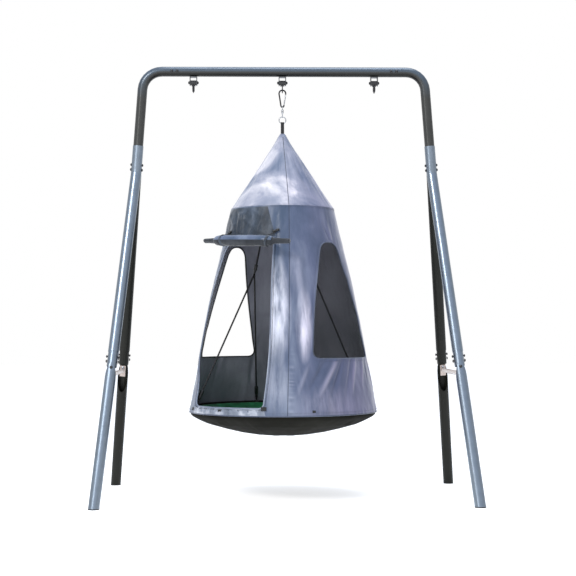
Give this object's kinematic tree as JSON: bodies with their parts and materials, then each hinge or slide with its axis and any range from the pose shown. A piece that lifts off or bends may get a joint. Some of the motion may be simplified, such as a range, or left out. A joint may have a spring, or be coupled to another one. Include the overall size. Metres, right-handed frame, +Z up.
{
  "type": "hanging tent swing with stand",
  "caption": "Child's hanging tent swing: cloth cone over a round sagging seat, on a swivel and snap hook under a steel tube A-frame stand with spare hangers.",
  "frame": {"origin": "on the ground, at the middle of the four feet", "axes": "+X right along the beam, +Y to the back, +Z up; the tent's door faces -Y and a little to -X"},
  "size_m": [1.9732, 1.1598, 2.3065],
  "materials": {
    "frame_paint": "glossy dark grey powder coat",
    "bolt_cap": "black plastic cap over a steel bolt",
    "foot_rubber": "matt black rubber",
    "brace_steel": "pale satin paint",
    "zinc": "zinc plate",
    "nylon": "black nylon",
    "black_steel": "black coating",
    "webbing": "flat woven webbing",
    "canopy_cloth": "blue grey satin cloth",
    "mesh": "dark open insect mesh",
    "base_cloth": "dark olive black cloth",
    "mat_cloth": "deep green padded cloth",
    "rope": "black braided cord",
    "black_plastic": "black moulded plastic"
  },
  "bodies": {
    "stand": {"top_beam": "frame_paint", "left_corner_tube": "frame_paint", "left_beam_bolt_1": "bolt_cap", "left_beam_bolt_2": "bolt_cap", "left_collar_bolt": "bolt_cap", "left_front_upper_leg": "frame_paint", "left_front_lower_leg": "frame_paint", "left_front_leg_bolt": "bolt_cap", "left_front_foot_cap": "foot_rubber", "left_rear_upper_leg": "frame_paint", "left_rear_lower_leg": "frame_paint", "left_rear_leg_bolt": "bolt_cap", "left_rear_foot_cap": "foot_rubber", "left_leg_brace": "brace_steel", "right_corner_tube": "frame_paint", "right_beam_bolt_1": "bolt_cap", "right_beam_bolt_2": "bolt_cap", "right_collar_bolt": "bolt_cap", "right_front_upper_leg": "frame_paint", "right_front_lower_leg": "frame_paint", "right_front_leg_bolt": "bolt_cap", "right_front_foot_cap": "foot_rubber", "right_rear_upper_leg": "frame_paint", "right_rear_lower_leg": "frame_paint", "right_rear_leg_bolt": "bolt_cap", "right_rear_foot_cap": "foot_rubber", "right_leg_brace": "brace_steel", "left_hanger_bracket": "zinc", "left_pivot_bolt": "bolt_cap", "centre_hanger_bracket": "zinc", "centre_pivot_bolt": "bolt_cap", "right_hanger_bracket": "zinc", "right_pivot_bolt": "bolt_cap"},
    "left_hanger": {"left_hanger_bushing": "nylon", "left_hanger_eye": "zinc"},
    "centre_hanger": {"centre_hanger_bushing": "nylon", "centre_hanger_eye": "zinc"},
    "right_hanger": {"right_hanger_bushing": "nylon", "right_hanger_eye": "zinc"},
    "snap_hook": {"snap_hook": "black_steel", "swivel_pin": "zinc"},
    "hook_gate": {"snap_hook_gate": "zinc"},
    "swivel_barrel": {"swivel_barrel": "zinc"},
    "top_ring": {"top_ring": "zinc"},
    "tent": {"top_strap": "webbing", "roof_canopy": "canopy_cloth", "door_wall": "canopy_cloth", "front_window_wall": "canopy_cloth", "rear_window_wall": "canopy_cloth", "back_wall": "canopy_cloth", "window_mesh": "mesh", "eave_hoop": "zinc", "saucer_ring": "frame_paint", "saucer_base": "base_cloth", "saucer_mat": "mat_cloth", "left_rope": "rope", "right_rope": "rope", "left_rope_adjuster": "black_plastic", "right_rope_adjuster": "black_plastic", "door_roll": "canopy_cloth"}
  },
  "joints": [
    {"name": "left_hanger_swing", "type": "hinge", "parent": "stand", "child": "left_hanger", "pos_m": [-0.49, 0, 2.22], "axis": [1, 0, 0], "range_deg": [-45, 45]},
    {"name": "centre_hanger_swing", "type": "hinge", "parent": "stand", "child": "centre_hanger", "pos_m": [-0.01, 0, 2.22], "axis": [1, 0, 0], "range_deg": [-30, 30]},
    {"name": "right_hanger_swing", "type": "hinge", "parent": "stand", "child": "right_hanger", "pos_m": [0.487, 0, 2.22], "axis": [1, 0, 0], "range_deg": [-45, 45]},
    {"name": "hook_sway", "type": "hinge", "parent": "centre_hanger", "child": "snap_hook", "pos_m": [-0.01, 0, 2.163], "axis": [0, 1, 0], "range_deg": [-5, 5]},
    {"name": "gate_open", "type": "hinge", "parent": "snap_hook", "child": "hook_gate", "pos_m": [-0.00076, 0, 2.10449], "axis": [0, -1, 0], "range_deg": [0, 18], "stiffness_Nm_per_rad": 0.02, "springref_deg": -17.19},
    {"name": "swivel_spin", "type": "hinge", "parent": "snap_hook", "child": "swivel_barrel", "pos_m": [-0.01, 0, 2.07], "axis": [0, 0, 1], "continuous": true},
    {"name": "ring_rock", "type": "hinge", "parent": "swivel_barrel", "child": "top_ring", "pos_m": [-0.01, 0, 2.036], "axis": [1, 0, 0], "range_deg": [-5, 5]},
    {"name": "tent_tilt", "type": "hinge", "parent": "top_ring", "child": "tent", "pos_m": [-0.01, 0, 2.0176], "axis": [0, 1, 0], "range_deg": [-5, 5]}
  ]
}
